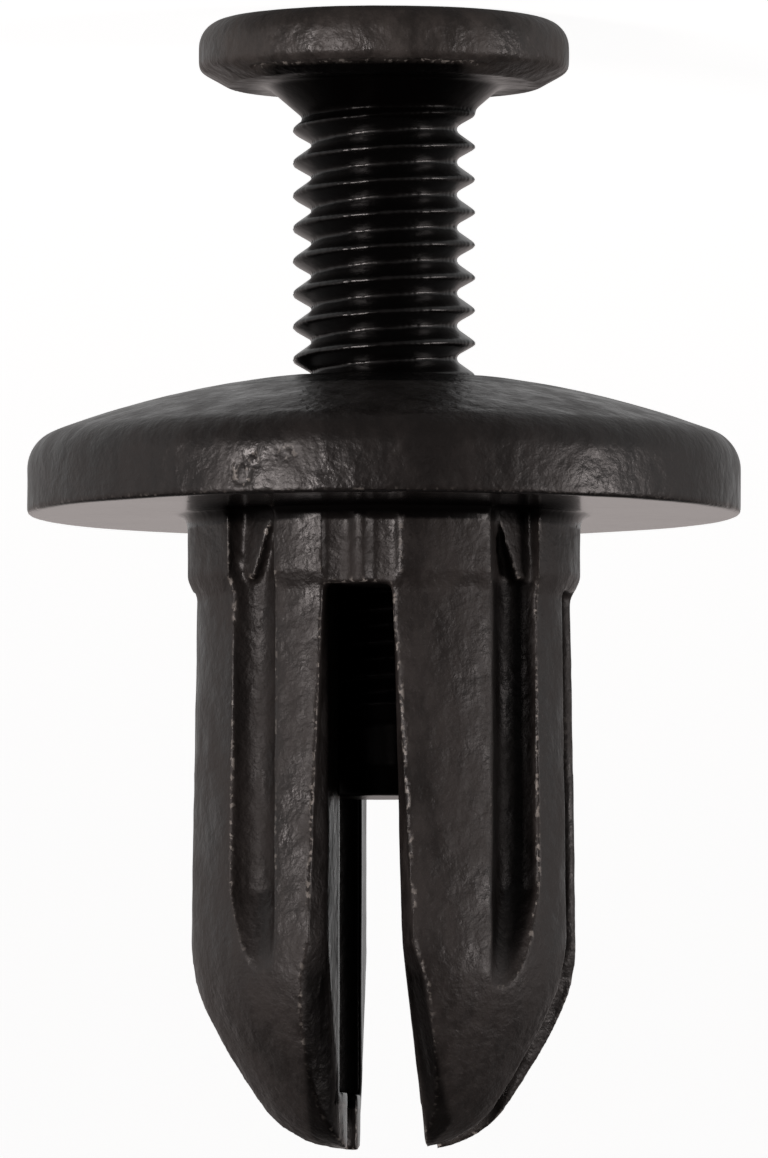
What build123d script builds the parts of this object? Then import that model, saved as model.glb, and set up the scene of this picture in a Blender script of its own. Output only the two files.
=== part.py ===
from build123d import *
from math import radians, sin, sqrt, tan
import os

# Plastic push rivet in two mouldings: a split grommet with a broad domed flange, and a threaded
# drive pin that is pushed home through it to spread its four legs.
# The rivet stands on the pin's head. Z = 0 is the head's face and +Z runs along the common axis
# to the tips of the legs. The front and back slots open along Y, the side slots along X.
# All sizes are in millimetres.

# ---- drive pin ----
HEAD_DIAMETER = 10.4
HEAD_THICKNESS = 1.85
HEAD_FACE_ROUND = 0.75
HEAD_BACK_CHAMFER = 0.8
HEAD_BACK_CHAMFER_HEIGHT = 0.5
NECK_DIAMETER = 6.6
NECK_LENGTH = 1.1
PIN_LENGTH = 21.8
LEAD_LENGTH = 2.0
LEAD_TIP_DIAMETER = 3.0
LEAD_TAPER_LENGTH = 0.8

THREAD_DIAMETER = 4.95
THREAD_ROOT_DIAMETER = 4.04
THREAD_PITCH = 0.92
THREAD_FLANK_ANGLE = 40.0
THREAD_RUN_IN = 0.33
THREAD_RUN_OUT = 0.8
THREAD_SINK = 0.05

RECESS_SPAN = 4.8
RECESS_WING = 1.0
RECESS_DEPTH = 2.0
RECESS_END_SPAN = 2.0
RECESS_END_WING = 0.7

# ---- grommet: flange and collar ----
FLANGE_DIAMETER = 20.0
FLANGE_CROWN = 4.03
FLANGE_DOME_RADIUS = 26.0
FLANGE_DOME_BLEND = 1.1
FLANGE_RIM_CHAMFER = 0.08
COLLAR_DIAMETER = 11.02
COLLAR_LENGTH = 1.8
COLLAR_CHAMFER_LENGTH = 0.55

# ---- grommet: legs ----
LEG_LENGTH = 17.75
LEG_TOP_DIAMETER = 10.54
LEG_SWELL_DIAMETER = 10.86
SHOULDER_RADIUS = 4.5
SHOULDER_ANGLE = 24.0
TAPER_RADIUS = 14.35
TAPER_ANGLE = 37.0
NOSE_RADIUS = 2.64

BORE_CLEARANCE = 0.075
BORE_DEPTH = 16.15
MOUTH_CLEARANCE = 0.1
MOUTH_DEPTH = 0.95

SLOT_START = 2.2
SLOT_WIDTH_AT_START = 1.56
SLOT_WIDTH_AT_SHOULDER = 1.84
SLOT_WIDTH_AT_TIP = 2.3
SLOT_DRAFT = 0.2
BEVEL_DEPTH = 0.95
BEVEL_MOUTH_AT_START = 1.84
BEVEL_MOUTH_AT_SHOULDER = 2.94
BEVEL_MOUTH_AT_TIP = 4.4

# Each leg has one groove. Its floor runs level to a little short of the shoulder, then out on a
# ramp. Seen from the front, the left groove and the right one differ, and the back pair is the
# front pair turned half round.
LEFT_GROOVE_CENTRE = 3.22
LEFT_GROOVE_WIDTH = 1.43
LEFT_GROOVE_FLOOR = 3.5
RIGHT_GROOVE_CENTRE = 4.09
RIGHT_GROOVE_WIDTH = 1.15
RIGHT_GROOVE_FLOOR = 2.4
GROOVE_RAMP_START = 1.5
GROOVE_RAMP_RISE = 1.1
GROOVE_RAMP_LENGTH = 2.7
GUSSET_LENGTH = 2.0
GUSSET_SETBACK = 0.45

# ---- how far out the pin stands ----
PIN_LIFT = 8.02
SEAT_GAP = 0.1

# ---- derived places and radii ----
ROUNDED_LENGTH = (
    SHOULDER_RADIUS * sin(radians(SHOULDER_ANGLE))
    + TAPER_RADIUS * (sin(radians(TAPER_ANGLE)) - sin(radians(SHOULDER_ANGLE)))
    + NOSE_RADIUS * (1 - sin(radians(TAPER_ANGLE)))
)
ROOT_RADIUS = THREAD_ROOT_DIAMETER / 2
CREST_RADIUS = THREAD_DIAMETER / 2
BORE_RADIUS = CREST_RADIUS + BORE_CLEARANCE
MOUTH_RADIUS = NECK_DIAMETER / 2 + MOUTH_CLEARANCE
THREAD_START_Z = HEAD_THICKNESS + THREAD_RUN_IN
LEAD_START_Z = PIN_LENGTH - LEAD_LENGTH
PANEL_FACE_Z = HEAD_THICKNESS + PIN_LIFT + FLANGE_CROWN
LEG_TIP_Z = PANEL_FACE_Z + LEG_LENGTH
SHOULDER_Z = LEG_TIP_Z - ROUNDED_LENGTH
RAMP_START_Z = SHOULDER_Z - GROOVE_RAMP_START
RAMP_END_Z = RAMP_START_Z + GROOVE_RAMP_LENGTH
SLOT_START_Z = PANEL_FACE_Z + SLOT_START
FLANGE_APEX_Z = PANEL_FACE_Z - FLANGE_CROWN
DOME_CENTRE_Z = FLANGE_APEX_Z + FLANGE_DOME_RADIUS
MOUTH_Z = DOME_CENTRE_Z - sqrt(FLANGE_DOME_RADIUS**2 - MOUTH_RADIUS**2)
PIN_TRAVEL = MOUTH_Z - HEAD_THICKNESS - SEAT_GAP

# Room for a cutting body to run past the face that it opens, and for a web to sink into its base.
OVERRUN = 2.0
SINK = 0.2


def turned(outline):
    """The solid that a closed outline of (radius, height) edges makes about the Z axis."""
    return revolve(Plane.XZ * make_face(outline), axis=Axis.Z)


def tapered(low_outline, low_z, high_outline, high_z):
    """A straight-sided solid from one outline up to another with as many corners."""
    low = Pos(0, 0, low_z) * make_face(Polyline(*low_outline, close=True))
    high = Pos(0, 0, high_z) * make_face(Polyline(*high_outline, close=True))
    return loft([low.face(), high.face()], ruled=True)


def rectangle(width, depth):
    """The corners of a rectangle about the axis."""
    return [
        (-width / 2, -depth / 2),
        (width / 2, -depth / 2),
        (width / 2, depth / 2),
        (-width / 2, depth / 2),
    ]


def both_ways_round(shape):
    """A shape, and the same shape turned half round the Z axis."""
    return [shape, Rot(0, 0, 180) * shape]


# ---- drive pin ----


def pin_blank():
    """Head, conical neck, shank at the thread's root and a tapered lead end, turned as one."""
    head_radius = HEAD_DIAMETER / 2
    head_back = HEAD_THICKNESS - HEAD_BACK_CHAMFER_HEIGHT
    outline = Polyline(
        (0, 0),
        (head_radius, 0),
        (head_radius, head_back),
        (head_radius - HEAD_BACK_CHAMFER, HEAD_THICKNESS),
        (NECK_DIAMETER / 2, HEAD_THICKNESS),
        (ROOT_RADIUS, HEAD_THICKNESS + NECK_LENGTH),
        (ROOT_RADIUS, PIN_LENGTH - LEAD_TAPER_LENGTH),
        (LEAD_TIP_DIAMETER / 2, PIN_LENGTH),
        (0, PIN_LENGTH),
        close=True,
    )
    face = make_face(outline)
    rim = face.vertices().sort_by_distance((head_radius, 0))[0]
    return revolve(Plane.XZ * fillet([rim], HEAD_FACE_ROUND), axis=Axis.Z)


def thread_turn():
    """One turn of the right-hand V ridge, its base sunk a little into the shank."""
    base_radius = ROOT_RADIUS - THREAD_SINK
    base_half = (CREST_RADIUS - base_radius) * tan(radians(THREAD_FLANK_ANGLE))
    corners = [(base_radius, -base_half), (CREST_RADIUS, 0), (base_radius, base_half)]
    edges = [
        Edge.make_helix(THREAD_PITCH, THREAD_PITCH, radius, (0, 0, THREAD_START_Z + height))
        for radius, height in corners
    ]
    sides = [
        Face.make_surface_from_curves(edges[i], edges[(i + 1) % len(edges)])
        for i in range(len(edges))
    ]
    ends = [Face(Wire.make_polygon([edge @ end for edge in edges], close=True)) for end in (0, 1)]
    return Solid(Shell(sides + ends))


def thread_run_out():
    """What is turned away where the ridge fades out onto the lead end."""
    ring = (CREST_RADIUS + OVERRUN, LEAD_START_Z + OVERRUN)
    return turned(
        Polyline(
            (CREST_RADIUS, LEAD_START_Z - THREAD_RUN_OUT),
            (ring[0], LEAD_START_Z - THREAD_RUN_OUT),
            ring,
            (ROOT_RADIUS, ring[1]),
            (ROOT_RADIUS, LEAD_START_Z),
            close=True,
        )
    )


def driver_recess():
    """A cross recess in the head's face, its wings narrowing with depth."""
    cut = Part()
    for turn in (0, 90):
        wing = tapered(
            rectangle(RECESS_SPAN, RECESS_WING),
            0,
            rectangle(RECESS_END_SPAN, RECESS_END_WING),
            RECESS_DEPTH,
        )
        cut += Rot(0, 0, turn) * wing
    return cut


def drive_pin():
    """The whole pin as one moulding."""
    turns = int((LEAD_START_Z - THREAD_START_Z) / THREAD_PITCH)
    ridge = thread_turn()
    threaded = pin_blank().fuse(*[Pos(0, 0, k * THREAD_PITCH) * ridge for k in range(turns)])
    return threaded.cut(thread_run_out(), driver_recess())


# ---- grommet ----


def flange():
    """The domed washer: flat towards the panel, spherical towards the pin's head."""
    radius = FLANGE_DIAMETER / 2
    rim_z = DOME_CENTRE_Z - sqrt(FLANGE_DOME_RADIUS**2 - radius**2)
    half_way = radius / 2
    middle = (half_way, DOME_CENTRE_Z - sqrt(FLANGE_DOME_RADIUS**2 - half_way**2))
    dome = ThreePointArc((0, FLANGE_APEX_Z), middle, (radius, rim_z))
    rim_and_panel_face = Polyline(
        (radius, rim_z),
        (radius, PANEL_FACE_Z - FLANGE_RIM_CHAMFER),
        (radius - FLANGE_RIM_CHAMFER, PANEL_FACE_Z),
        (0, PANEL_FACE_Z),
        (0, FLANGE_APEX_Z),
    )
    face = make_face([dome, rim_and_panel_face])
    edge = face.vertices().sort_by_distance((radius, rim_z))[0]
    return revolve(Plane.XZ * fillet([edge], FLANGE_DOME_BLEND), axis=Axis.Z)


def stem_blank():
    """Collar and legs before they are slotted: a slight swell, a shoulder, a taper and a nose."""
    collar = COLLAR_DIAMETER / 2
    collar_end_z = PANEL_FACE_Z + COLLAR_LENGTH
    flank = Polyline(
        (0, PANEL_FACE_Z - SINK),
        (collar, PANEL_FACE_Z - SINK),
        (collar, collar_end_z),
        (LEG_TOP_DIAMETER / 2, collar_end_z + COLLAR_CHAMFER_LENGTH),
        (LEG_SWELL_DIAMETER / 2, SHOULDER_Z),
    )
    shoulder = JernArc(flank @ 1, (0, 1), SHOULDER_RADIUS, SHOULDER_ANGLE)
    taper = JernArc(shoulder @ 1, shoulder % 1, TAPER_RADIUS, TAPER_ANGLE - SHOULDER_ANGLE)
    nose = JernArc(taper @ 1, taper % 1, NOSE_RADIUS, 90 - TAPER_ANGLE)
    close = Polyline(nose @ 1, (0, LEG_TIP_Z), flank @ 0)
    return turned([flank, shoulder, taper, nose, close])


def groove(centre, width, floor):
    """The round-bottomed groove down one leg, drawn straight out along Y."""
    half = width / 2
    out = COLLAR_DIAMETER
    length = LEG_LENGTH + OVERRUN
    bottom = Pos(centre, floor + half, PANEL_FACE_Z) * Cylinder(
        half, length, align=(Align.CENTER, Align.CENTER, Align.MIN)
    )
    walls = Pos(centre, floor + half, PANEL_FACE_Z) * Box(
        width, out, length, align=(Align.CENTER, Align.MIN, Align.MIN)
    )
    return bottom + walls - groove_end(centre, width, floor)


def groove_end(centre, width, floor):
    """What a groove leaves standing at its end: a ramp that its floor runs out on."""
    outline = make_face(
        Polyline(
            (floor - SINK, RAMP_START_Z),
            (floor, RAMP_START_Z),
            (floor + GROOVE_RAMP_RISE, RAMP_END_Z),
            (2 * COLLAR_DIAMETER, RAMP_END_Z),
            (2 * COLLAR_DIAMETER, LEG_TIP_Z + 2 * OVERRUN),
            (floor - SINK, LEG_TIP_Z + 2 * OVERRUN),
            close=True,
        )
    )
    return Pos(centre, 0, 0) * extrude(Plane.YZ * outline, width, both=True)


def gusset(centre, width):
    """The pointed web that carries a groove's top into the flange."""
    half = width / 2
    outline = make_face(
        Polyline(
            (centre - half, PANEL_FACE_Z - SINK),
            (centre + half, PANEL_FACE_Z - SINK),
            (centre + half, PANEL_FACE_Z),
            (centre, PANEL_FACE_Z + GUSSET_LENGTH),
            (centre - half, PANEL_FACE_Z),
            close=True,
        )
    )
    web = extrude(Plane.XZ * outline, -COLLAR_DIAMETER / 2)
    outer = COLLAR_DIAMETER / 2 - GUSSET_SETBACK
    envelope = Pos(0, 0, PANEL_FACE_Z - OVERRUN) * (
        Cylinder(outer, 3 * OVERRUN, align=(Align.CENTER, Align.CENTER, Align.MIN))
        - Cylinder(BORE_RADIUS, 3 * OVERRUN, align=(Align.CENTER, Align.CENTER, Align.MIN))
    )
    return web & envelope


def bore():
    """The pin's hole, open through the dome with a conical mouth and blind in the noses."""
    bottom = PANEL_FACE_Z + BORE_DEPTH
    return turned(
        Polyline(
            (0, FLANGE_APEX_Z - OVERRUN),
            (MOUTH_RADIUS, FLANGE_APEX_Z - OVERRUN),
            (MOUTH_RADIUS, MOUTH_Z),
            (BORE_RADIUS, MOUTH_Z + MOUTH_DEPTH),
            (BORE_RADIUS, bottom),
            (0, bottom),
            close=True,
        )
    )


def side_slot():
    """The slot between the front and the back legs, widening towards the tips."""
    across = 2 * COLLAR_DIAMETER
    start = rectangle(across, SLOT_WIDTH_AT_START)
    shoulder = rectangle(across, SLOT_WIDTH_AT_SHOULDER)
    tip = rectangle(across, SLOT_WIDTH_AT_TIP)
    return [
        tapered(start, SLOT_START_Z, shoulder, SHOULDER_Z),
        tapered(shoulder, SHOULDER_Z, tip, LEG_TIP_Z + OVERRUN),
    ]


def bevelled_section(side, width, mouth, outer_radius):
    """Half of the front slot's section: drafted walls, then a bevel out to the leg's surface."""
    bevel_start = outer_radius - BEVEL_DEPTH
    out = outer_radius + COLLAR_DIAMETER / 2
    half_outline = [
        (width / 2, -SINK),
        (width / 2, min(BORE_RADIUS, bevel_start) - SINK),
        (width / 2 + SLOT_DRAFT / 2, bevel_start),
        (mouth / 2, outer_radius),
        (mouth / 2, out),
    ]
    other_half = [(-x, y) for x, y in reversed(half_outline)]
    return [(x, side * y) for x, y in half_outline + other_half]


def front_slot(side):
    """The front or back slot between two legs, its bevels opening out towards the tips."""
    start = bevelled_section(
        side, SLOT_WIDTH_AT_START, BEVEL_MOUTH_AT_START, LEG_TOP_DIAMETER / 2
    )
    shoulder = bevelled_section(
        side, SLOT_WIDTH_AT_SHOULDER, BEVEL_MOUTH_AT_SHOULDER, LEG_SWELL_DIAMETER / 2
    )
    tip = bevelled_section(side, SLOT_WIDTH_AT_TIP, BEVEL_MOUTH_AT_TIP, BEVEL_MOUTH_AT_TIP / 2)
    return [
        tapered(start, SLOT_START_Z, shoulder, SHOULDER_Z),
        tapered(shoulder, SHOULDER_Z, tip, LEG_TIP_Z + OVERRUN),
    ]


def grommet():
    """The whole grommet as one moulding."""
    left = groove(LEFT_GROOVE_CENTRE, LEFT_GROOVE_WIDTH, LEFT_GROOVE_FLOOR)
    right = groove(RIGHT_GROOVE_CENTRE, RIGHT_GROOVE_WIDTH, RIGHT_GROOVE_FLOOR)
    grooves = both_ways_round(mirror(left, about=Plane.XZ)) + both_ways_round(right)
    webs = both_ways_round(mirror(gusset(LEFT_GROOVE_CENTRE, LEFT_GROOVE_WIDTH), about=Plane.XZ))
    webs += both_ways_round(gusset(RIGHT_GROOVE_CENTRE, RIGHT_GROOVE_WIDTH))
    stem = stem_blank().cut(*grooves)
    body = flange().fuse(stem, *webs)
    return body.cut(bore(), *side_slot(), *front_slot(-1), *front_slot(1))


os.makedirs("parts", exist_ok=True)
export_step(grommet(), "parts/grommet.step")
export_step(drive_pin(), "parts/drive_pin.step")
print(f"pin travel {PIN_TRAVEL:.3f}, panel face at {PANEL_FACE_Z:.3f}, tips at {LEG_TIP_Z:.3f}")
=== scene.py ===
"""Dresses a plastic push rivet: a split grommet with a domed flange, and its threaded drive pin.

Both pieces are black injection-moulded polyamide. Each one is built in millimetres from turned
outlines and drawn cutters, melted into one soft-edged skin, given its moulded relief, and then
scaled to metres. The rivet stands on the pin's head, with +Z towards the tips of the legs.
"""

import logging
import math
from dataclasses import dataclass
from enum import Enum

import bmesh
import bpy
import numpy as np
from mathutils import Matrix, Vector, noise


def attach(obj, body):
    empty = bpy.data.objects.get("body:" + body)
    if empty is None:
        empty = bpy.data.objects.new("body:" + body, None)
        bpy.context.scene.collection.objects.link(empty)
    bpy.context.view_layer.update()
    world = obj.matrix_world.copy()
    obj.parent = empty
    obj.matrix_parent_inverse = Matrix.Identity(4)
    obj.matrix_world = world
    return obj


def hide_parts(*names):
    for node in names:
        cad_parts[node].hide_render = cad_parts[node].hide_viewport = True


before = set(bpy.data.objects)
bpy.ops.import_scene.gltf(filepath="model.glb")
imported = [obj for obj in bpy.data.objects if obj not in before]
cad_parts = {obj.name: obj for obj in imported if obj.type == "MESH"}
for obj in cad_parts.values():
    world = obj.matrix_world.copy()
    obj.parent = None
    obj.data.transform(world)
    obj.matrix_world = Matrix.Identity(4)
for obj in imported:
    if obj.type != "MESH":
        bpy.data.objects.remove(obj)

LOG = logging.getLogger("push_rivet")
MM = 0.001  # in metres
MERGE_DISTANCE_MM = 1e-5
ABOUT_Z = {"cent": (0, 0, 0), "axis": (0, 0, 1)}
# Pale edge specks and flange rings: part rubbed wear, part painted highlight.
WEAR_AND_HIGHLIGHT = "wear_and_highlight"
MATT_TOOL = "matt_tool"
# Painted shade: darkness painted into the bore, corners, grooves and nose bevels, and under the
# pin's head.
SHADE_MARK = "painted_shade_mark"
Point = tuple[float, float]
Triple = tuple[float, float, float]
Range = tuple[float, float]
Section = tuple[list[Point], float]
Tree = bpy.types.NodeTree
Socket = bpy.types.NodeSocket
BMesh = bmesh.types.BMesh
Piece = bpy.types.Object


class Steps:
    """How many straight pieces stand for each round form."""

    GROMMET_TURN = 256
    PIN_TURN = 192
    THREAD_TURN = 96
    DOME = 40
    RIM_BLEND = 12
    COLLAR_ROOT = 4
    SHOULDER = 14
    NOSE = 16
    RIDGE = 20
    GROOVE = 16
    HEAD_EDGE = 10


class Slot(Enum):
    """The record's material slots."""

    GROMMET = "grommet_polyamide"
    PIN = "pin_polyamide"


# ---------------------------------------------------------------- colour and nodes


def linear(hex_colour: str) -> tuple[float, float, float, float]:
    """Turns an sRGB hex colour into the linear colour that shaders take.

    Args:
        hex_colour: Six hex digits after a hash sign.

    Returns:
        Linear red, green and blue, with an alpha of 1.
    """
    channels = [int(hex_colour[i : i + 2], 16) / 255 for i in (1, 3, 5)]
    red, green, blue = (
        c / 12.92 if c <= 0.04045 else ((c + 0.055) / 1.055) ** 2.4 for c in channels
    )
    return red, green, blue, 1.0


def add_node(
    tree: Tree,
    kind: str,
    settings: dict[str | int, object] | None = None,
    links: dict[str | int, object] | None = None,
) -> bpy.types.Node:
    """Adds one node with its settings and links.

    Args:
        tree: The node tree that takes the node.
        kind: The node's type name, without the ShaderNode that starts it.
        settings: Properties of the node by name, and values of its inputs by name or index.
        links: Output sockets of other nodes that feed its inputs, by name or index.

    Returns:
        The new node.
    """
    node = tree.nodes.new("ShaderNode" + kind)
    for name, value in (settings or {}).items():
        if isinstance(name, int) or name in node.inputs:
            node.inputs[name].default_value = value
        else:
            setattr(node, name, value)
    for name, socket in (links or {}).items():
        tree.links.new(socket, node.inputs[name])
    return node


def per_metre(millimetres: float) -> float:
    """The scale of a pattern whose features are that many millimetres across."""
    return 1 / (millimetres * MM)


def mesh_value(tree: Tree, name: str) -> Socket:
    """The value of one of the mesh's own attributes."""
    return add_node(tree, "Attribute", {"attribute_name": name}).outputs["Fac"]


def combined(tree: Tree, operation: str, first: Socket, second: Socket) -> Socket:
    """Two values combined by one of the maths node's operations."""
    return add_node(tree, "Math", {"operation": operation}, {0: first, 1: second}).outputs[0]


def pattern(
    tree: Tree,
    place: Socket,
    across_mm: float,
    detail: float,
    roughness: float = 0.5,
) -> Socket:
    """Adds a noise.

    Args:
        tree: The node tree.
        place: The coordinates that it reads.
        across_mm: How many millimetres across its features are.
        detail: How many finer octaves it has.
        roughness: How strong each finer octave is beside the one before.

    Returns:
        The noise's value.
    """
    settings = {"Scale": per_metre(across_mm), "Detail": detail, "Roughness": roughness}
    return add_node(tree, "TexNoise", settings, {"Vector": place}).outputs["Fac"]


def spread(tree: Tree, value: Socket, between: Range, to: Range = (0.0, 1.0)) -> Socket:
    """Stretches the middle of a value's range over another range, and stops at its ends.

    Args:
        tree: The node tree.
        value: The value to stretch.
        between: The values that become the ends of the new range.
        to: The new range.

    Returns:
        The stretched value.
    """
    settings = {
        "interpolation_type": "SMOOTHSTEP",
        "From Min": between[0],
        "From Max": between[1],
        "To Min": to[0],
        "To Max": to[1],
    }
    return add_node(tree, "MapRange", settings, {"Value": value}).outputs["Result"]


@dataclass(frozen=True)
class MouldedPolyamide:
    """Black polyamide 6.6, injection moulded in a spark-eroded tool.

    The resin is dyed through, so its colour hardly changes. What the eye sees is a broad soft
    sheen, blotched and drawn out along the tool's pull, an orange peel that the polished parts of
    the tool lack, and edges whose flash has been rubbed bright, with painted highlight specks
    along them. Painted shade darkens corners, hollows and the bore, and takes the sheen off them.
    """

    name: str
    dark: str
    light: str
    # Pale colour of the edge specks, part wear and part painted highlight.
    scuff_and_highlight: str
    roughness_polished: float
    roughness_eroded: Range
    mottle_floor: float
    mottle_mm: float
    peel_mm: float
    peel_height_mm: float
    grain_mm: float
    grain_height_mm: float
    speck_share: float
    speck_mm: float = 0.16
    speck_range: Range = (0.72, 0.8)
    speck_detail: float = 2.0
    streak: float = 0.45
    mottle_detail: float = 6.0
    mottle_roughness: float = 0.72
    tone_range: Range = (0.36, 0.66)
    gloss_range: Range = (0.35, 0.65)
    peel_detail: float = 4.0
    grain_detail: float = 2.0
    polished_relief: float = 0.15
    # Near-black colour of the painted shade, and the low specular level under it, which takes the
    # reflection away.
    painted_shade: str = "#050404"
    shade_specular_level: float = 0.08
    ior: float = 1.53
    specular_level: float = 0.5

    def material(self) -> bpy.types.Material:
        """The finish as a material that reads object coordinates and the skin's attributes."""
        material = bpy.data.materials.new(self.name)
        material.use_nodes = True
        tree = material.node_tree
        tree.nodes.clear()
        place = add_node(tree, "TexCoord").outputs["Object"]
        drawn_out = add_node(
            tree, "Mapping", {"Scale": (1, 1, self.streak)}, {"Vector": place}
        ).outputs["Vector"]
        sizes = (self.mottle_mm, self.mottle_detail, self.mottle_roughness)
        mottle = pattern(tree, drawn_out, *sizes)
        matt = mesh_value(tree, MATT_TOOL)
        roughness = add_node(
            tree,
            "Mix",
            {2: self.roughness_polished},
            {0: matt, 3: spread(tree, mottle, self.gloss_range, self.roughness_eroded)},
        )
        # Painted shade also lowers the specular level, so shaded places lose their reflection.
        sheen = add_node(
            tree,
            "MapRange",
            {"To Min": self.specular_level, "To Max": self.shade_specular_level},
            {"Value": mesh_value(tree, SHADE_MARK)},
        )
        shader = add_node(
            tree,
            "BsdfPrincipled",
            {"IOR": self.ior},
            {
                "Base Color": self._colour(tree, place, mottle, matt),
                "Specular IOR Level": sheen.outputs["Result"],
                "Roughness": roughness.outputs[0],
                "Normal": self._surface(tree, place, matt),
            },
        )
        add_node(tree, "OutputMaterial", links={"Surface": shader.outputs["BSDF"]})
        return material

    def _colour(self, tree: Tree, place: Socket, mottle: Socket, matt: Socket) -> Socket:
        """The dyed resin with its lighter blotches, then rubbed flash with painted highlight
        specks, then painted shade over all.
        """
        tone = spread(tree, mottle, self.tone_range, (self.mottle_floor, 1.0))
        covers = (
            (self.light, combined(tree, "MULTIPLY", tone, matt)),
            (self.scuff_and_highlight, self._wear_and_highlights(tree, place)),
            # The last cover is painted shade, laid over all the others.
            (self.painted_shade, mesh_value(tree, SHADE_MARK)),
        )
        below = {}
        for hex_colour, cover in covers:
            settings = {"data_type": "RGBA", 6: linear(self.dark), 7: linear(hex_colour)}
            mixed = add_node(tree, "Mix", settings, {0: cover, **below})
            below = {6: mixed.outputs[2]}
        return below[6]

    def _wear_and_highlights(self, tree: Tree, place: Socket) -> Socket:
        """Bright specks, part rubbed flash and part painted highlight, only where the edge
        attribute is high.
        """
        low, high = self.speck_range
        chosen = spread(
            tree,
            pattern(tree, place, self.speck_mm, self.speck_detail),
            (low - self.speck_share, high - self.speck_share),
        )
        return combined(tree, "MULTIPLY", mesh_value(tree, WEAR_AND_HIGHLIGHT), chosen)

    def _surface(self, tree: Tree, place: Socket, matt: Socket) -> Socket:
        """Orange peel under the fine grain of the eroded tool, as one normal."""
        settings = {"To Min": self.polished_relief}
        strength = add_node(tree, "MapRange", settings, {"Value": matt})
        links = {"Strength": strength.outputs["Result"]}
        for across, height, detail in (
            (self.peel_mm, self.peel_height_mm, self.peel_detail),
            (self.grain_mm, self.grain_height_mm, self.grain_detail),
        ):
            links["Height"] = pattern(tree, place, across, detail)
            settings = {"Distance": height * MM}
            links["Normal"] = add_node(tree, "Bump", settings, links).outputs["Normal"]
        return links["Normal"]


# ---------------------------------------------------------------- meshes in millimetres


def clamp(value: float) -> float:
    """A value held between 0 and 1."""
    return min(1.0, max(0.0, value))


def arc(centre: Point, radius: float, start: float, end: float, steps: int) -> list[Point]:
    """Points along an arc, both ends included.

    Args:
        centre: The arc's centre.
        radius: Its radius.
        start: Its first angle, in degrees from the first axis.
        end: Its last angle.
        steps: How many straight pieces it has.

    Returns:
        The points in order.
    """
    angles = [math.radians(start + (end - start) * i / steps) for i in range(steps + 1)]
    return [(centre[0] + radius * math.cos(a), centre[1] + radius * math.sin(a)) for a in angles]


def add_loop(mesh: BMesh, points: list[Triple]) -> tuple[list, list]:
    """Adds a closed loop of points to a mesh, and gives its vertices and its edges."""
    verts = [mesh.verts.new(point) for point in points]
    return verts, [mesh.edges.new((verts[i - 1], verts[i])) for i in range(len(verts))]


def turned(outline: list[Point], steps: int) -> BMesh:
    """A closed outline of (radius, height) points, spun about Z in that many facets."""
    mesh = bmesh.new()
    verts, edges = add_loop(mesh, [(radius, 0, height) for radius, height in outline])
    bmesh.ops.spin(
        mesh, geom=verts + edges, angle=math.tau, steps=steps, use_merge=True, **ABOUT_Z
    )
    return closed(mesh)


def coiled(section: list[Point], start_z: float, pitch: float, turns: float) -> BMesh:
    """A section carried along a right-hand helix about the Z axis, with both ends closed.

    Args:
        section: Points of (radius, height), the last of which joins the first.
        start_z: The height at which the section's own zero starts, on +X.
        pitch: The rise of one turn.
        turns: How many turns it makes.

    Returns:
        The closed mesh.
    """
    mesh = bmesh.new()
    edges = add_loop(mesh, [(radius, 0, start_z + height) for radius, height in section])[1]
    bmesh.ops.edgeloop_fill(mesh, edges=edges)
    steps = round(Steps.THREAD_TURN * turns)
    rise = (0, 0, pitch * turns / steps)
    swept = bmesh.ops.spin(
        mesh, geom=edges, angle=math.tau * turns, steps=steps, dvec=rise, **ABOUT_Z
    )["geom_last"]
    last = [e for e in swept if isinstance(e, bmesh.types.BMEdge)]
    bmesh.ops.edgeloop_fill(mesh, edges=last)
    bmesh.ops.recalc_face_normals(mesh, faces=mesh.faces)
    return mesh


def lofted(sections: list[Section]) -> BMesh:
    """A closed body through level outlines, each with as many (x, y) corners and a height."""
    mesh = bmesh.new()
    loops = [add_loop(mesh, [(x, y, z) for x, y in outline])[1] for outline, z in sections]
    for low, high in zip(loops, loops[1:]):
        bmesh.ops.bridge_loops(mesh, edges=low + high)
    for end in (loops[0], loops[-1]):
        bmesh.ops.edgeloop_fill(mesh, edges=end)
    bmesh.ops.recalc_face_normals(mesh, faces=mesh.faces)
    return mesh


def closed(mesh: BMesh) -> BMesh:
    """Merges a mesh's doubles, drops what collapsed on the axis and turns its faces outwards."""
    bmesh.ops.remove_doubles(mesh, verts=mesh.verts, dist=MERGE_DISTANCE_MM)
    bmesh.ops.dissolve_degenerate(mesh, dist=MERGE_DISTANCE_MM, edges=mesh.edges)
    bmesh.ops.recalc_face_normals(mesh, faces=mesh.faces)
    return mesh


def mirrored(mesh: BMesh, x: int, y: int) -> BMesh:
    """The same mesh, mirrored along an axis whose sign is -1, with its faces outwards."""
    bmesh.ops.transform(mesh, matrix=Matrix.Diagonal((x, y, 1, 1)), verts=mesh.verts)
    bmesh.ops.recalc_face_normals(mesh, faces=mesh.faces)
    return mesh


def as_object(mesh: BMesh, name: str) -> Piece:
    """Puts a finished mesh into a new object at the origin."""
    data = bpy.data.meshes.new(name)
    mesh.to_mesh(data)
    mesh.free()
    made = bpy.data.objects.new(name, data)
    bpy.context.scene.collection.objects.link(made)
    return made


def add_modifier(piece: Piece, kind: str, **settings: object) -> None:
    """Adds a modifier with its settings."""
    modifier = piece.modifiers.new(kind.lower(), kind)
    for name, value in settings.items():
        setattr(modifier, name, value)


def bake_modifiers(piece: Piece) -> None:
    """Applies all of a piece's modifiers to its mesh."""
    graph = bpy.context.evaluated_depsgraph_get()
    data = bpy.data.meshes.new_from_object(piece.evaluated_get(graph), depsgraph=graph)
    old = piece.data
    piece.modifiers.clear()
    piece.data = data
    bpy.data.meshes.remove(old)


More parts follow.
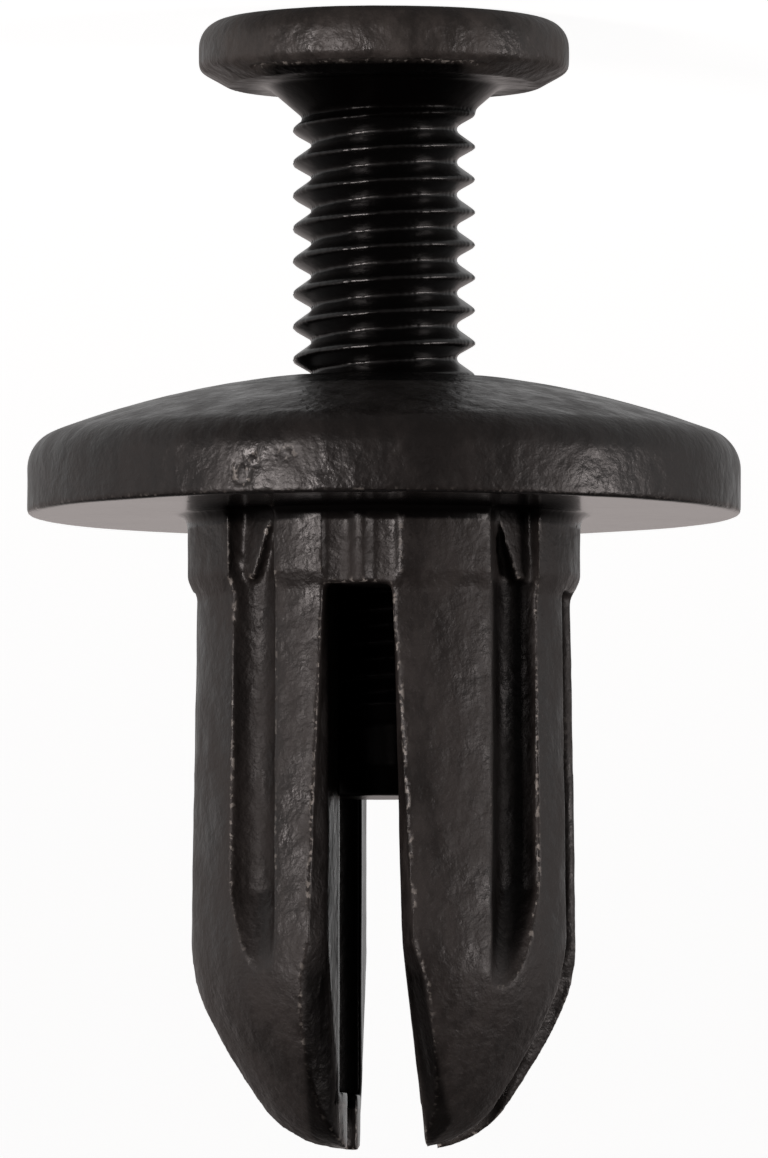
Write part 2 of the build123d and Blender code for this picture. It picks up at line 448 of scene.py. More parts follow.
def cut(piece: Piece, cutters: list[BMesh]) -> None:
    """Takes the volumes of closed meshes out of a piece, and uses the meshes up."""
    tools = [as_object(cutter, f"cutter_{i}") for i, cutter in enumerate(cutters)]
    for tool in tools:
        add_modifier(piece, "BOOLEAN", operation="DIFFERENCE", solver="EXACT", object=tool)
    bake_modifiers(piece)
    for tool in tools:
        data = tool.data
        bpy.data.objects.remove(tool)
        bpy.data.meshes.remove(data)


def add_to(piece: Piece, additions: list[BMesh]) -> None:
    """Adds overlapping closed meshes to a piece, to be melted into it, and uses them up."""
    whole = bmesh.new()
    whole.from_mesh(piece.data)
    for addition in additions:
        data = bpy.data.meshes.new("addition")
        addition.to_mesh(data)
        addition.free()
        whole.from_mesh(data)
        bpy.data.meshes.remove(data)
    whole.to_mesh(piece.data)
    whole.free()


def vectors(items: bpy.types.bpy_prop_collection, name: str) -> np.ndarray:
    """The same vector property of every item, one row each."""
    values = np.empty(len(items) * 3)
    items.foreach_get(name, values)
    return values.reshape(-1, 3)


def unit_noise(place: Vector, across: float) -> float:
    """Smooth noise from 0 to 1, whose features are that many millimetres across."""
    return 0.5 + 0.5 * noise.noise(place / across)


@dataclass(frozen=True)
class Skin:
    """How a moulding's skin is melted and what relief it carries, all in millimetres.

    The grid melts the solids into one skin whose edges are as round as a grid cell, as a real
    tool's are. Relief only sinks into the surface, so that the piece never grows.
    """

    grid: float
    softening: int
    swell: float
    swell_depth: float
    peel: float
    peel_depth: float
    nibble: float
    nibble_depth: float
    # Edge mask: nibbles the edges, and on matt parts carries specks that are part wear and part
    # painted highlight.
    edge_from: float
    edge_to: float
    triangles: int
    specks_where_matt: float = 0.45
    rubbed_depth: float = 0.07
    smoothing: float = 0.5


@dataclass
class Moulding:
    """A moulded piece, which says what its surface is like at each place."""

    finish: MouldedPolyamide
    skin: Skin

    def matt(self, place: Vector) -> float:
        """How matt the tool is at a place, from 0, polished, to 1, spark-eroded."""
        raise NotImplementedError

    def painted_shade(self, place: Vector) -> float:
        """How much shade is painted at a place, from 0 to 1."""
        raise NotImplementedError

    def rub(self, place: Vector) -> float:
        """How much a place is rubbed bright, from 0 to 1."""
        raise NotImplementedError

    def melt(self, piece: Piece) -> None:
        """Melts overlapping solids into one soft-edged skin."""
        skin = self.skin
        add_modifier(piece, "REMESH", mode="VOXEL", voxel_size=skin.grid)
        add_modifier(piece, "SMOOTH", factor=skin.smoothing, iterations=skin.softening)
        bake_modifiers(piece)

    def edge_sharpness(self, data: bpy.types.Mesh) -> np.ndarray:
        """How far each vertex stands out of its neighbours' mean, in edge lengths.

        Args:
            data: An evenly gridded mesh.

        Returns:
            A number for each vertex: 0 on the flat, positive on an outward edge.
        """
        count = len(data.vertices)
        place = vectors(data.vertices, "co")
        ends = np.empty(len(data.edges) * 2, int)
        data.edges.foreach_get("vertices", ends)
        first, second = ends.reshape(-1, 2).T
        reach = np.bincount(first, minlength=count) + np.bincount(second, minlength=count)
        mean = np.empty((count, 3))
        for axis in range(3):
            total = np.bincount(first, place[second, axis], count)
            total += np.bincount(second, place[first, axis], count)
            mean[:, axis] = total / np.maximum(reach, 1)
        normal = vectors(data.vertex_normals, "vector")
        return ((place - mean) * normal).sum(1) / self.skin.grid

    def relieve(self, piece: Piece) -> None:
        """Sinks swells, orange peel and nibbled edges into the skin, and marks its finish, its
        painted shade and its edge specks, which are part wear and part painted highlight.
        """
        skin, data = self.skin, piece.data
        eroded, shade_amounts, rubbed = (
            np.array([value(vertex.co) for vertex in data.vertices])
            for value in (self.matt, self.painted_shade, self.rub)
        )
        sharpness = self.edge_sharpness(data)
        edges = np.clip((sharpness - skin.edge_from) / (skin.edge_to - skin.edge_from), 0, 1)
        edge_specks = edges * np.clip(eroded / skin.specks_where_matt, 0, 1)
        normals = [Vector(n.vector) for n in data.vertex_normals]
        rows = zip(data.vertices, normals, edges, eroded, rubbed)
        for vertex, normal, edge, rough, ring in rows:
            place = vertex.co.copy()
            depth = skin.swell_depth * unit_noise(place, skin.swell)
            depth += rough * skin.peel_depth * unit_noise(place, skin.peel)
            depth += edge * skin.nibble_depth * max(0, noise.noise(place / skin.nibble))
            depth += ring * skin.rubbed_depth
            vertex.co = place - normal * depth
        # The first mark carries edge specks that are part wear and part painted highlight. The
        # last mark is painted shade.
        marks = {WEAR_AND_HIGHLIGHT: np.maximum(edge_specks, rubbed), MATT_TOOL: eroded, SHADE_MARK: shade_amounts}
        for name, values in marks.items():
            attribute = data.attributes.new(name, "FLOAT", "POINT")
            attribute.data.foreach_set("value", np.asarray(values, np.float32))

    def thin(self, piece: Piece) -> None:
        """Drops triangles where the skin is flat, down to the piece's budget."""
        piece.data.calc_loop_triangles()
        now = len(piece.data.loop_triangles)
        if now > self.skin.triangles:
            add_modifier(piece, "DECIMATE", ratio=self.skin.triangles / now)
            bake_modifiers(piece)

    def complete(self, piece: Piece, body: str, node: str, slot: Slot) -> None:
        """Gives a piece its skin and finish in metres, and hands it over to the frame.

        Args:
            piece: The piece, in millimetres.
            body: The body that it rides on.
            node: The node that it stands for.
            slot: Its material slot; not used.
        """
        self.melt(piece)
        self.relieve(piece)
        self.thin(piece)
        piece.data.transform(Matrix.Scale(MM, 4))
        piece.data.shade_smooth()
        piece.data.update()
        piece.data.materials.clear()
        piece.data.materials.append(self.finish.material())
        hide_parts(node)
        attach(piece, body)
        size_mm = np.ptp(vectors(piece.data.vertices, "co"), axis=0) / MM
        LOG.info("%s: %d faces, %s mm", piece.name, len(piece.data.polygons), size_mm.round(3))


# ---------------------------------------------------------------- the grommet


@dataclass(frozen=True)
class GasMark:
    """A ring that gas trapped in the tool has left on the flange's front."""

    x: float
    z: float
    half_width: float
    half_height: float
    strength: float


@dataclass(frozen=True)
class Groove:
    """A leg's groove: its place to the side, its width, how far out its floor is, and its painted
    shade.
    """

    centre: float
    width: float
    floor: float
    # How dark the painted shade in the groove is.
    shade_level: float


@dataclass
class Grommet(Moulding):
    """The split grommet: domed flange, collar, and four grooved legs on a bullet nose."""

    panel_z: float = 13.9
    flange_radius: float = 10.0
    crown: float = 4.03
    dome_radius: float = 26.0
    dome_blend: float = 1.1
    rim_edge: float = 0.08
    collar_radius: float = 5.51
    collar_length: float = 1.8
    collar_chamfer: float = 0.55
    collar_root: float = 0.28
    leg_length: float = 17.75
    leg_top_radius: float = 5.27
    leg_swell_radius: float = 5.43
    shoulder_radius: float = 4.5
    shoulder_angle: float = 24.0
    taper_radius: float = 14.35
    taper_angle: float = 37.0
    nose_radius: float = 2.64
    bore_radius: float = 2.55
    bore_depth: float = 16.15
    mouth_radius: float = 3.4
    mouth_depth: float = 0.95
    slot_start: float = 2.2
    slot_widths: Triple = (1.56, 1.84, 2.3)
    slot_draft: float = 0.2
    slot_overlap: float = 0.2375
    bevel_depth: float = 0.95
    bevel_mouths: Triple = (1.84, 2.94, 4.4)
    left_groove: Groove = Groove(centre=3.22, width=1.43, floor=3.5, shade_level=0.25)
    right_groove: Groove = Groove(centre=4.09, width=1.15, floor=2.4, shade_level=0.75)
    groove_ramp_start: float = 1.5
    groove_ramp_rise: float = 1.1
    groove_ramp_length: float = 2.7
    gusset_length: float = 2.0
    gusset_setback: float = 0.5
    gusset_slope: float = 0.35
    gusset_sunk_share: float = 0.25
    gusset_point_share: float = 0.025
    bore_lip: float = 0.36
    slot_reach: float = 1.3
    channel_half_width: float = 0.95
    channel_slope: float = 1.0
    ridge_radius: float = 0.36
    channel_head: float = 0.3
    mouth_edge: float = 0.14
    side_mouths: Triple = (1.7, 2.0, 2.5)
    side_edge: float = 0.3
    slot_lean: Triple = (0.12, 0.0, -0.3)
    overrun: float = 2.0
    flange_matt: float = 0.6
    polished_rim: float = 0.06
    wall_matt: float = 0.4
    # Painted shade: at the collar's root under the flange, sunk into the grooves and on the nose
    # bevels.
    shade_height: float = 0.45
    shade_thickness: float = 1.5
    groove_lip: float = 0.15
    nose_shade: float = 0.85
    mark_line: float = 0.75
    gas_marks: tuple[GasMark, ...] = (
        GasMark(2.76, 13.3, 0.26, 0.42, 0.5),
        GasMark(2.42, 12.95, 0.2, 0.24, 0.35),
        GasMark(1.45, 12.8, 0.24, 0.2, 0.35),
    )

    @property
    def apex_z(self) -> float:
        """The height of the dome's apex."""
        return self.panel_z - self.crown

    @property
    def tip_z(self) -> float:
        """The height of the legs' tips."""
        return self.panel_z + self.leg_length

    @property
    def shoulder_z(self) -> float:
        """The height at which the legs start to round in."""
        shoulder, taper = math.radians(self.shoulder_angle), math.radians(self.taper_angle)
        rounded = self.shoulder_radius * math.sin(shoulder)
        rounded += self.taper_radius * (math.sin(taper) - math.sin(shoulder))
        rounded += self.nose_radius * (1 - math.sin(taper))
        return self.tip_z - rounded

    def dome(self) -> list[Point]:
        """The dome from the pin's mouth out to the rim, with the blend between them."""
        centre = (0.0, self.apex_z + self.dome_radius)
        blend_r = self.flange_radius - self.dome_blend
        reach = self.dome_radius - self.dome_blend
        blend_centre = (blend_r, centre[1] - math.sqrt(reach**2 - blend_r**2))
        touch = -math.degrees(math.acos(blend_r / reach))
        mouth = -math.degrees(math.acos(self.mouth_radius / self.dome_radius))
        dome = arc(centre, self.dome_radius, mouth, touch, Steps.DOME)
        return dome + arc(blend_centre, self.dome_blend, touch, 0, Steps.RIM_BLEND)[1:]

    def legs(self) -> list[Point]:
        """The legs' outline from the collar's chamfer down to the axis at the tip."""
        flank = [
            (self.leg_top_radius, self.panel_z + self.collar_length + self.collar_chamfer),
            (self.leg_swell_radius, self.shoulder_z),
        ]
        centre = (self.leg_swell_radius - self.shoulder_radius, self.shoulder_z)
        shoulder = arc(centre, self.shoulder_radius, 0, self.shoulder_angle, Steps.SHOULDER)
        taper_angles = (self.shoulder_angle, self.taper_angle)
        taper = self._next_arc(shoulder[-1], self.taper_radius, taper_angles, Steps.SHOULDER)
        nose = self._next_arc(taper[-1], self.nose_radius, (self.taper_angle, 90.0), Steps.NOSE)
        return flank + shoulder[1:] + taper[1:] + nose[1:] + [(0.0, self.tip_z)]

    @staticmethod
    def _next_arc(point: Point, radius: float, angles: Range, steps: int) -> list[Point]:
        """An arc that carries on from a point where the outline's normal is at the first angle."""
        start, end = angles
        angle = math.radians(start)
        centre = (point[0] - radius * math.cos(angle), point[1] - radius * math.sin(angle))
        return arc(centre, radius, start, end, steps)

    def outline(self) -> list[Point]:
        """The turned outline: dome, rim, panel face, collar, legs and the stepped bore."""
        panel, root = self.panel_z, self.collar_root
        collar_end = panel + self.collar_length
        dome = self.dome()
        return [
            *dome,
            (self.flange_radius, panel - self.rim_edge),
            (self.flange_radius - self.rim_edge, panel),
            *arc((self.collar_radius + root, panel + root), root, 270, 180, Steps.COLLAR_ROOT),
            (self.collar_radius, collar_end),
            *self.legs(),
            (0.0, panel + self.bore_depth),
            (self.bore_radius, panel + self.bore_depth),
            (self.bore_radius, dome[0][1] + self.mouth_depth),
        ]

    def side_slot(self) -> BMesh:
        """The slot between a front and a back leg, its mouth a little bevelled."""
        outlines = self._slot_outlines(self.side_mouths, self.side_edge)
        return lofted([([(y, x) for x, y in outline], z) for outline, z in outlines])

    def front_slot(self) -> BMesh:
        """The front slot between two legs, whose bevels open out towards the tips."""
        outlines = self._slot_outlines(self.bevel_mouths, self.mouth_edge)
        leaning = zip(outlines, self.slot_lean)
        return lofted([([(x + lean, y) for x, y in line], z) for (line, z), lean in leaning])

    def _slot_outlines(self, mouths: Triple, edge: float) -> list[Section]:
        """A slot's outlines from the collar to past the tips, drawn towards -Y, with heights."""
        outers = (self.leg_top_radius, self.leg_swell_radius, self.bevel_mouths[2] / 2)
        sizes = zip(self.slot_widths, mouths, outers, self._slot_heights())
        return [(self._bevelled(w, mouth, outer, edge), z) for w, mouth, outer, z in sizes]

    def channel(self) -> BMesh:
        """The shallow channel that carries the front slot's line up the collar."""
        near, far = -self.leg_top_radius, -2 * self.collar_radius
        wide = self.channel_half_width + (near - far) * self.channel_slope
        half = self.channel_half_width
        section = [(-wide, far), (wide, far), (half, near), (-half, near)]
        top = self.panel_z + self.slot_start + self.slot_draft
        return lofted([(section, self.panel_z + self.channel_head), (section, top)])

    def ridge(self) -> BMesh:
        """The half-round ridge of the tool's parting line, in the middle of the channel."""
        radius = self.ridge_radius
        section = arc((0.0, radius - self.collar_radius), radius, 0, 360, Steps.RIDGE)[1:]
        top = self.panel_z + self.slot_start
        return lofted([(section, self.panel_z), (section, top)])

    def _slot_heights(self) -> Triple:
        """Where a slot starts, where the legs round in, and just past the tips."""
        start = self.panel_z + self.slot_start
        return start, self.shoulder_z, self.tip_z + self.overrun

    def _bevelled(self, width: float, mouth: float, outer: float, edge: float) -> list[Point]:
        """A slot's section: drafted walls, then a bevel out to the leg's surface."""
        start = outer - self.bevel_depth
        inner = min(self.bore_radius, start) - self.slot_overlap
        half = [
            (width / 2, self.slot_overlap),
            (width / 2, -inner),
            (width / 2 + self.slot_draft / 2, -start),
            (mouth / 2, -outer + edge),
            (mouth / 2 + edge, -outer),
            (mouth / 2 + edge, -outer - self.collar_radius),
        ]
        return half + [(-x, y) for x, y in reversed(half)]

    def groove(self, sizes: Groove) -> BMesh:
        """The round-bottomed groove down one leg, drawn straight out, with a ramp at its end."""
        half = sizes.width / 2
        out = sizes.floor + 2 * self.collar_radius

        def section(rise: float) -> list[Point]:
            floor = arc((sizes.centre, sizes.floor + rise + half), half, 180, 360, Steps.GROOVE)
            return floor + [(sizes.centre + half, out), (sizes.centre - half, out)]

        ramp_start = self.shoulder_z - self.groove_ramp_start
        end = (section(self.groove_ramp_rise), ramp_start + self.groove_ramp_length)
        return lofted([(section(0.0), self.panel_z), (section(0.0), ramp_start), end])

    def gusset(self, sizes: Groove) -> BMesh:
        """The pointed web that carries a groove's top into the flange."""
        outer = self.collar_radius - self.gusset_setback
        inner_y = sizes.floor - sizes.width * self.gusset_sunk_share

        def section(half: float) -> list[Point]:
            near, far = sizes.centre - half, sizes.centre + half
            return [
                (near - self.gusset_slope, inner_y),
                (far + self.gusset_slope, inner_y),
                (far, math.sqrt(outer**2 - far**2)),
                (near, math.sqrt(outer**2 - near**2)),
            ]

        base = (section(sizes.width / 2), self.panel_z - self.rim_edge)
        point = section(sizes.width * self.gusset_point_share)
        return lofted([base, (point, self.panel_z + self.gusset_length)])

    def matt(self, place: Vector) -> float:
        """How matt the tool is at a place: polished in the bore, mattest on the legs."""
        out = math.hypot(place.x, place.y)
        above = place.z - self.panel_z
        on_panel_face = out > self.collar_radius and above > -self.polished_rim
        if on_panel_face or self._in_bore(place):
            return 0.0
        if abs(place.x) < self.slot_reach and out < self.leg_swell_radius - self.bevel_depth:
            return self.wall_matt
        legs = clamp(above / self.collar_length)
        return self.flange_matt + (1 - self.flange_matt) * legs

    def painted_shade(self, place: Vector) -> float:
        """How much shade is painted at a place: fully in the bore and the collar's corner, less in
        the grooves and on the nose bevels.
        """
        if self._in_bore(place):
            return 1.0
        out = math.hypot(place.x, place.y)
        above = place.z - self.panel_z
        if above > self.shade_height:
            sunk = (self._leg_radius(place.z) - out) / self.groove_lip - 1
            shade_level = self._groove_shade(place) * clamp(sunk)
            return max(shade_level, self._bevel_shade(place))
        on_collar = out < self.collar_radius + self.collar_root
        return float(on_collar) * clamp(self.shade_thickness - above / self.shade_height)

    def _in_bore(self, place: Vector) -> bool:
        """Whether a place is on the bore's wall or its lip."""
        out = math.hypot(place.x, place.y)
        bottom = self.panel_z + self.bore_depth
        return out < self.bore_radius + self.bore_lip and place.z < bottom + self.bore_lip

    def _groove_shade(self, place: Vector) -> float:
        """How dark a groove's painted shade is at a place, from the gusset's point to the nose."""
        in_groove = min(abs(place.x), abs(place.y)) > self.slot_reach
        if not in_groove or place.z < self.panel_z + self.gusset_length:
            return 0.0
        groove = self.left_groove if place.x * place.y < 0 else self.right_groove
        return groove.shade_level * (1 - clamp(place.z - self.shoulder_z))

    def _bevel_shade(self, place: Vector) -> float:
        """How much shade is painted on the nose bevels of the front and back slots at a place."""
        heights = self._slot_heights()
        middle, width, mouth = (
            float(np.interp(place.z, heights, sizes))
            for sizes in (self.slot_lean, self.slot_widths, self.bevel_mouths)
        )
        aside = abs(place.x - middle)
        from_wall = (aside - (width + self.slot_draft) / 2) / self.mouth_edge
        to_mouth = (mouth / 2 + self.mouth_edge - aside) / self.mouth_edge
        across = clamp(min(from_wall, to_mouth))
        nose = clamp(place.z - self.shoulder_z)
        return self.nose_shade * nose * across * (abs(place.y) > abs(place.x))

    def _leg_radius(self, height: float) -> float:
        """The turned surface's radius at a height on the collar or the legs."""
        points = [(self.collar_radius, self.panel_z + self.collar_length), *self.legs()]
        return float(np.interp(height, [z for _, z in points], [r for r, _ in points]))

    def rub(self, place: Vector) -> float:
        """How much a place is rubbed bright: in the rings of the gas marks on the flange."""
        strength = 0.0
        for mark in self.gas_marks:
            across = math.hypot(
                (place.x - mark.x) / mark.half_width, (place.z - mark.z) / mark.half_height
            )
            if place.y < 0 and abs(across - self.mark_line) < 1 - self.mark_line:
                strength = mark.strength
        return strength

    def build(self) -> Piece:
        """Turns, cuts, webs, melts and dresses the grommet."""
        piece = as_object(turned(self.outline(), Steps.GROMMET_TURN), "split_grommet")
        both = (1, -1)
        cutters = [mirrored(self.front_slot(), 1, y) for y in both]
        cutters += [mirrored(self.channel(), 1, y) for y in both]
        cutters += [mirrored(self.side_slot(), x, 1) for x in both]
        webs = [mirrored(self.ridge(), 1, y) for y in both]
        for sizes, turn in ((self.left_groove, -1), (self.right_groove, 1)):
            for x in both:
                cutters.append(mirrored(self.groove(sizes), x, x * turn))
                webs.append(mirrored(self.gusset(sizes), x, x * turn))
        cut(piece, cutters)
        add_to(piece, webs)
        self.complete(piece, "grommet", "grommet", Slot.GROMMET)
        return piece


# ---------------------------------------------------------------- the drive pin


@dataclass
class DrivePin(Moulding):
    """The drive pin: flat round head, conical neck, coarse V thread and a tapered lead end."""

    length: float = 21.8
    head_radius: float = 5.2
    head_thickness: float = 1.85
    face_round: float = 0.75
    back_round: float = 0.5
    back_slope: float = 0.8
    back_edge_shares: tuple[Point, ...] = ((0.0, -1 / 5), (-1 / 20, 1 / 12), (-1 / 6, 1 / 4))
    neck_radius: float = 3.3
    neck_length: float = 1.1
    root_radius: float = 2.02
    crest_radius: float = 2.57
    crest_flat: float = 0.1
    pitch: float = 0.92
    thread_start: float = 2.18
    thread_sunk: float = 0.1875
    low_flank: float = 0.44
    high_flank: float = 0.36
    lead_length: float = 2.0
    lead_taper: float = 0.8
    lead_radius: float = 1.5
    fade: float = 0.8
    recess_span: float = 4.8
    recess_wing: float = 1.0
    recess_depth: float = 2.0
    recess_overrun: float = 0.1
    recess_end_span: float = 2.0
    recess_end_wing: float = 0.7
    # Painted shade on the head's back slope and neck, and on the shank from where the grommet
    # hides it.
    shade_fade: float = 0.05
    hidden_from: float = 13.0
    rubbed_edge: float = 0.7

    def outline(self) -> list[Point]:
        """The turned outline of head, neck, shank and lead end."""
        back = self.head_thickness - self.back_round
        centre = (self.head_radius - self.face_round, self.face_round)
        return [
            (0.0, 0.0),
            *arc(centre, self.face_round, 270, 360, Steps.HEAD_EDGE),
            *[
                (self.head_radius + out * self.back_slope, back + up * self.back_round)
                for out, up in self.back_edge_shares
            ],
            (self.head_radius - self.back_slope, self.head_thickness),
            (self.neck_radius, self.head_thickness),
            (self.root_radius, self.head_thickness + self.neck_length),
            (self.root_radius, self.length - self.lead_taper),
            (self.lead_radius, self.length),
            (0.0, self.length),
        ]

    def thread(self) -> BMesh:
        """The V ridge: a longer flank towards the head, a shorter one towards the lead end."""
        sunk = self.root_radius - self.thread_sunk
        section = [
            (sunk, -self.low_flank),
            (self.root_radius, -self.low_flank),
            (self.crest_radius, -self.crest_flat / 2),
            (self.crest_radius, self.crest_flat / 2),
            (self.root_radius, self.high_flank),
            (sunk, self.high_flank),
        ]
        room = self.length - self.lead_length - self.thread_start
        return coiled(section, self.thread_start, self.pitch, room / self.pitch)

    def fade_out(self) -> BMesh:
        """The ring that tapers the ridge away onto the lead end."""
        end = self.length - self.lead_length
        out = self.crest_radius + self.lead_length
        ring = [
            (self.crest_radius, end - self.fade),
            (out, end - self.fade),
            (out, end + self.lead_length),
            (self.root_radius, end + self.lead_length),
            (self.root_radius, end),
        ]
        return turned(ring, Steps.THREAD_TURN)

    def recess(self) -> list[BMesh]:
        """The two crossed wings of the driver recess, narrowing with depth."""
        face = self._rectangle(self.recess_span, self.recess_wing)
        end = self._rectangle(self.recess_end_span, self.recess_end_wing)
        wings = []
        for turn in (0.0, math.pi / 2):
            wing = lofted([(face, -self.recess_overrun), (end, self.recess_depth)])
            bmesh.ops.transform(wing, matrix=Matrix.Rotation(turn, 4, "Z"), verts=wing.verts)
            wings.append(wing)
        return wings

    @staticmethod
    def _rectangle(span: float, wing: float) -> list[Point]:
        """The corners of a wing's section about the axis."""
        x, y = span / 2, wing / 2
        return [(-x, -y), (x, -y), (x, y), (-x, y)]

    def matt(self, place: Vector) -> float:
        """How matt the tool is at a place: eroded on the head, polished from the neck on."""
        out = (math.hypot(place.x, place.y) - self.neck_radius) / self.face_round
        return clamp(out) if place.z < self.head_thickness + self.back_round else 0.0

    def painted_shade(self, place: Vector) -> float:
        """How much shade is painted at a place: round the neck, behind the head, and on the shank
        inside the grommet.
        """
        if place.z > self.head_thickness + self.neck_length:
            return float(place.z > self.hidden_from)
        on_slope = (place.z - self._shade_edge) / self.shade_fade
        beside = (self.neck_radius - abs(place.x)) / self.face_round
        return clamp(on_slope) * clamp(beside)

    def rub(self, place: Vector) -> float:
        """How much a place is rubbed bright: in a line along the head's back edge."""
        above = abs(place.z - self._shade_edge)
        beside = abs(place.x) < self.neck_radius
        return float(beside and above < self.shade_fade) * self.rubbed_edge

    @property
    def _shade_edge(self) -> float:
        """The height on the head's back slope at which the painted shade starts."""
        return self.head_thickness - self.back_round / 2

    def build(self) -> Piece:
        """Turns, threads, recesses, melts and dresses the pin."""
        piece = as_object(turned(self.outline(), Steps.PIN_TURN), "threaded_drive_pin")
        cut(piece, self.recess())
        ridge = as_object(self.thread(), "ridge")
        cut(ridge, [self.fade_out()])
        thread = bmesh.new()
        thread.from_mesh(ridge.data)
        bpy.data.objects.remove(ridge)
        add_to(piece, [thread])
        self.complete(piece, "drive_pin", "drive_pin", Slot.PIN)
        return piece


# ---------------------------------------------------------------- floor, light and camera


@dataclass(frozen=True)
class Falloff:
    """How the tent's level changes from one end of a direction's axis to the other."""

    axis: str
    between: Range
    levels: Range

    def share(self, tree: Tree, direction: Socket) -> Socket:
        """The share of the tent's level that is left in a direction."""
        parts = add_node(tree, "SeparateXYZ", links={0: direction})
        return spread(tree, parts.outputs[self.axis], self.between, self.levels)


@dataclass(frozen=True)
class Lamp:
    """A square soft box, in millimetres and watts."""

    name: str
    place: Triple
    size: float
    watts: float


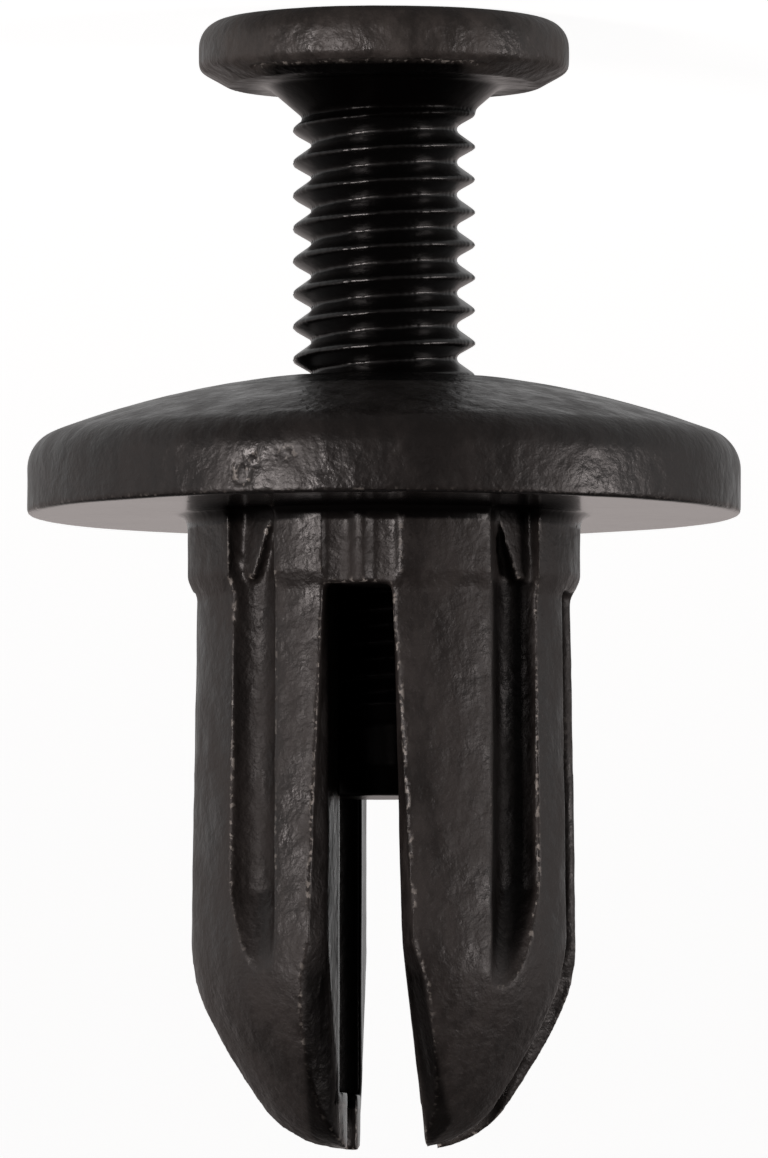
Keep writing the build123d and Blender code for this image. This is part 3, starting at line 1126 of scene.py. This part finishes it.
@dataclass(frozen=True)
class Studio:
    """A white sweep under soft lamps, and the camera, low and rolled half a turn."""

    tint: str = "#fff4f1"
    ambient: float = 0.28
    mirrored_level: float = 0.65
    falloffs: tuple[Falloff, ...] = (
        Falloff("Y", (-1.0, -0.1), (0.08, 1.0)),
        Falloff("Y", (0.8, 1.0), (1.0, 1.5)),
        Falloff("X", (-0.9, 0.9), (0.55, 0.8)),
        Falloff("Z", (0.05, 0.7), (1.0, 0.22)),
    )
    floor_colour: str = "#b4b4b4"
    floor_lift: float = 0.93
    floor_glow: float = 0.4
    floor_half_mm: float = 6000.0
    floor_roughness: float = 0.9
    lamps: tuple[Lamp, ...] = (
        Lamp("key_soft_box", (216.0, -390.0, 70.0), 120.0, 1.0),
        Lamp("fill_soft_box", (-434.0, -103.0, 70.0), 130.0, 0.5),
    )
    camera_azimuth: float = -7.0
    camera_distance_mm: float = 386.0
    camera_height_mm: float = 39.0
    aim_height_mm: float = 15.67
    frame_height_mm: float = 32.39
    long_side_mm: float = 36.0
    nearest_mm: float = 10.0

    @property
    def aim(self) -> Vector:
        """The middle of the object, which the lamps and the camera face, in metres."""
        return Vector((0, 0, self.aim_height_mm)) * MM

    def world(self) -> None:
        """A tent that looks white, lights the object plainly and is dim on the camera's side."""
        world = bpy.data.worlds.new("white_tent")
        bpy.context.scene.world = world
        world.use_nodes = True
        tree = world.node_tree
        tree.nodes.clear()
        direction = add_node(tree, "TexCoord").outputs["Generated"]
        strength = self._shown(tree, direction, self.ambient)
        path = add_node(tree, "LightPath")
        colour = add_node(
            tree,
            "Mix",
            {"data_type": "RGBA", 6: linear(self.tint), 7: linear("#ffffff")},
            {0: path.outputs["Is Camera Ray"]},
        )
        links = {"Color": colour.outputs[2], "Strength": strength}
        background = add_node(tree, "Background", links=links).outputs["Background"]
        add_node(tree, "OutputWorld", links={"Surface": background})

    def _shown(self, tree: Tree, direction: Socket, as_light: float) -> Socket:
        """One to the camera; to other rays, the tent's level, as_light for diffuse ones."""
        path = add_node(tree, "LightPath")
        glossy, through = path.outputs["Is Glossy Ray"], path.outputs["Is Transmission Ray"]
        level = add_node(
            tree,
            "MapRange",
            {"To Min": as_light, "To Max": self.mirrored_level},
            {"Value": combined(tree, "MAXIMUM", glossy, through)},
        ).outputs["Result"]
        for falloff in self.falloffs:
            level = combined(tree, "MULTIPLY", level, falloff.share(tree, direction))
        return combined(tree, "MAXIMUM", path.outputs["Is Camera Ray"], level)

    def floor(self) -> None:
        """A matt pale floor that looks white and keeps the object's shadow."""
        mesh = bmesh.new()
        size = self.floor_half_mm * MM
        bmesh.ops.create_grid(mesh, x_segments=2, y_segments=2, size=size)
        floor = as_object(mesh, "studio_floor")
        material = bpy.data.materials.new("matt_white_paper")
        material.use_nodes = True
        tree = material.node_tree
        shader = next(n for n in tree.nodes if n.type == "BSDF_PRINCIPLED")
        shader.inputs["Base Color"].default_value = linear(self.floor_colour)
        shader.inputs["Roughness"].default_value = self.floor_roughness
        shader.inputs["Emission Color"].default_value = linear("#ffffff")
        place = add_node(tree, "TexCoord").outputs["Object"]
        away = add_node(tree, "VectorMath", {"operation": "NORMALIZE"}, {0: place})
        lift = add_node(
            tree,
            "Math",
            {"operation": "MULTIPLY", 1: self.floor_lift},
            {0: self._shown(tree, away.outputs["Vector"], self.floor_glow)},
        )
        tree.links.new(lift.outputs[0], shader.inputs["Emission Strength"])
        floor.data.materials.append(material)

    def lamp(self, box: Lamp) -> None:
        """Hangs a soft box that faces the middle of the object."""
        data = bpy.data.lights.new(box.name, "AREA")
        data.shape = "SQUARE"
        data.size = box.size * MM
        data.energy = box.watts
        data.color = linear(self.tint)[:3]
        lamp = bpy.data.objects.new(box.name, data)
        lamp.location = Vector(box.place) * MM
        lamp.rotation_euler = (self.aim - lamp.location).to_track_quat("-Z", "Y").to_euler()
        bpy.context.scene.collection.objects.link(lamp)

    def camera(self) -> None:
        """A long lens, low over the floor, rolled so that the pin's head is uppermost."""
        data = bpy.data.cameras.new("camera")
        data.sensor_width = self.long_side_mm
        height, away = self.camera_height_mm, self.camera_distance_mm
        reach = math.hypot(away, height - self.aim_height_mm)
        data.lens = self.long_side_mm * reach / self.frame_height_mm
        data.clip_start = self.nearest_mm * MM
        camera = bpy.data.objects.new("camera", data)
        turn = math.radians(self.camera_azimuth)
        place = Vector((math.sin(turn) * away, -math.cos(turn) * away, height)) * MM
        roll = Matrix.Rotation(math.pi, 3, "Z")
        facing = (self.aim - place).to_track_quat("-Z", "Y").to_matrix()
        camera.location = place
        camera.rotation_euler = (facing @ roll).to_euler()
        bpy.context.scene.collection.objects.link(camera)
        bpy.context.scene.camera = camera

    def build(self) -> None:
        """Sets up the world, the floor, the lamps and the camera."""
        self.world()
        self.floor()
        for box in self.lamps:
            self.lamp(box)
        self.camera()
        bpy.context.scene.view_settings.view_transform = "Standard"


GROMMET_POLYAMIDE = MouldedPolyamide(
    name="moulded_black_polyamide",
    dark="#0c0a0a",
    light="#332e2c",
    scuff_and_highlight="#b9b3ac",
    roughness_polished=0.2,
    roughness_eroded=(0.36, 0.62),
    mottle_floor=0.45,
    mottle_mm=1.3,
    peel_mm=0.5,
    peel_height_mm=0.085,
    grain_mm=0.11,
    grain_height_mm=0.012,
    speck_share=0.2,
)
PIN_POLYAMIDE = MouldedPolyamide(
    name="glossy_moulded_black_polyamide",
    dark="#070606",
    light="#4a4542",
    scuff_and_highlight="#b5afa8",
    roughness_polished=0.28,
    roughness_eroded=(0.32, 0.56),
    mottle_floor=0.4,
    mottle_mm=1.2,
    peel_mm=0.45,
    peel_height_mm=0.09,
    grain_mm=0.1,
    grain_height_mm=0.008,
    speck_share=0.15,
)
GROMMET_SKIN = Skin(
    grid=0.09,
    softening=3,
    swell=2.6,
    swell_depth=0.02,
    peel=0.7,
    peel_depth=0.03,
    nibble=0.25,
    nibble_depth=0.05,
    edge_from=0.06,
    edge_to=0.18,
    triangles=190_000,
)
PIN_SKIN = Skin(
    grid=0.08,
    softening=4,
    swell=2.0,
    swell_depth=0.01,
    peel=0.5,
    peel_depth=0.006,
    nibble=0.25,
    nibble_depth=0.02,
    edge_from=0.10,
    edge_to=0.25,
    triangles=190_000,
)


def main() -> None:
    """Builds the two mouldings and the studio; each piece notes its size once it is built."""
    logging.basicConfig(level=logging.INFO, format="%(name)s: %(message)s")
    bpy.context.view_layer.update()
    Grommet(GROMMET_POLYAMIDE, GROMMET_SKIN).build()
    DrivePin(PIN_POLYAMIDE, PIN_SKIN).build()
    Studio().build()


if __name__ == "__main__":
    main()
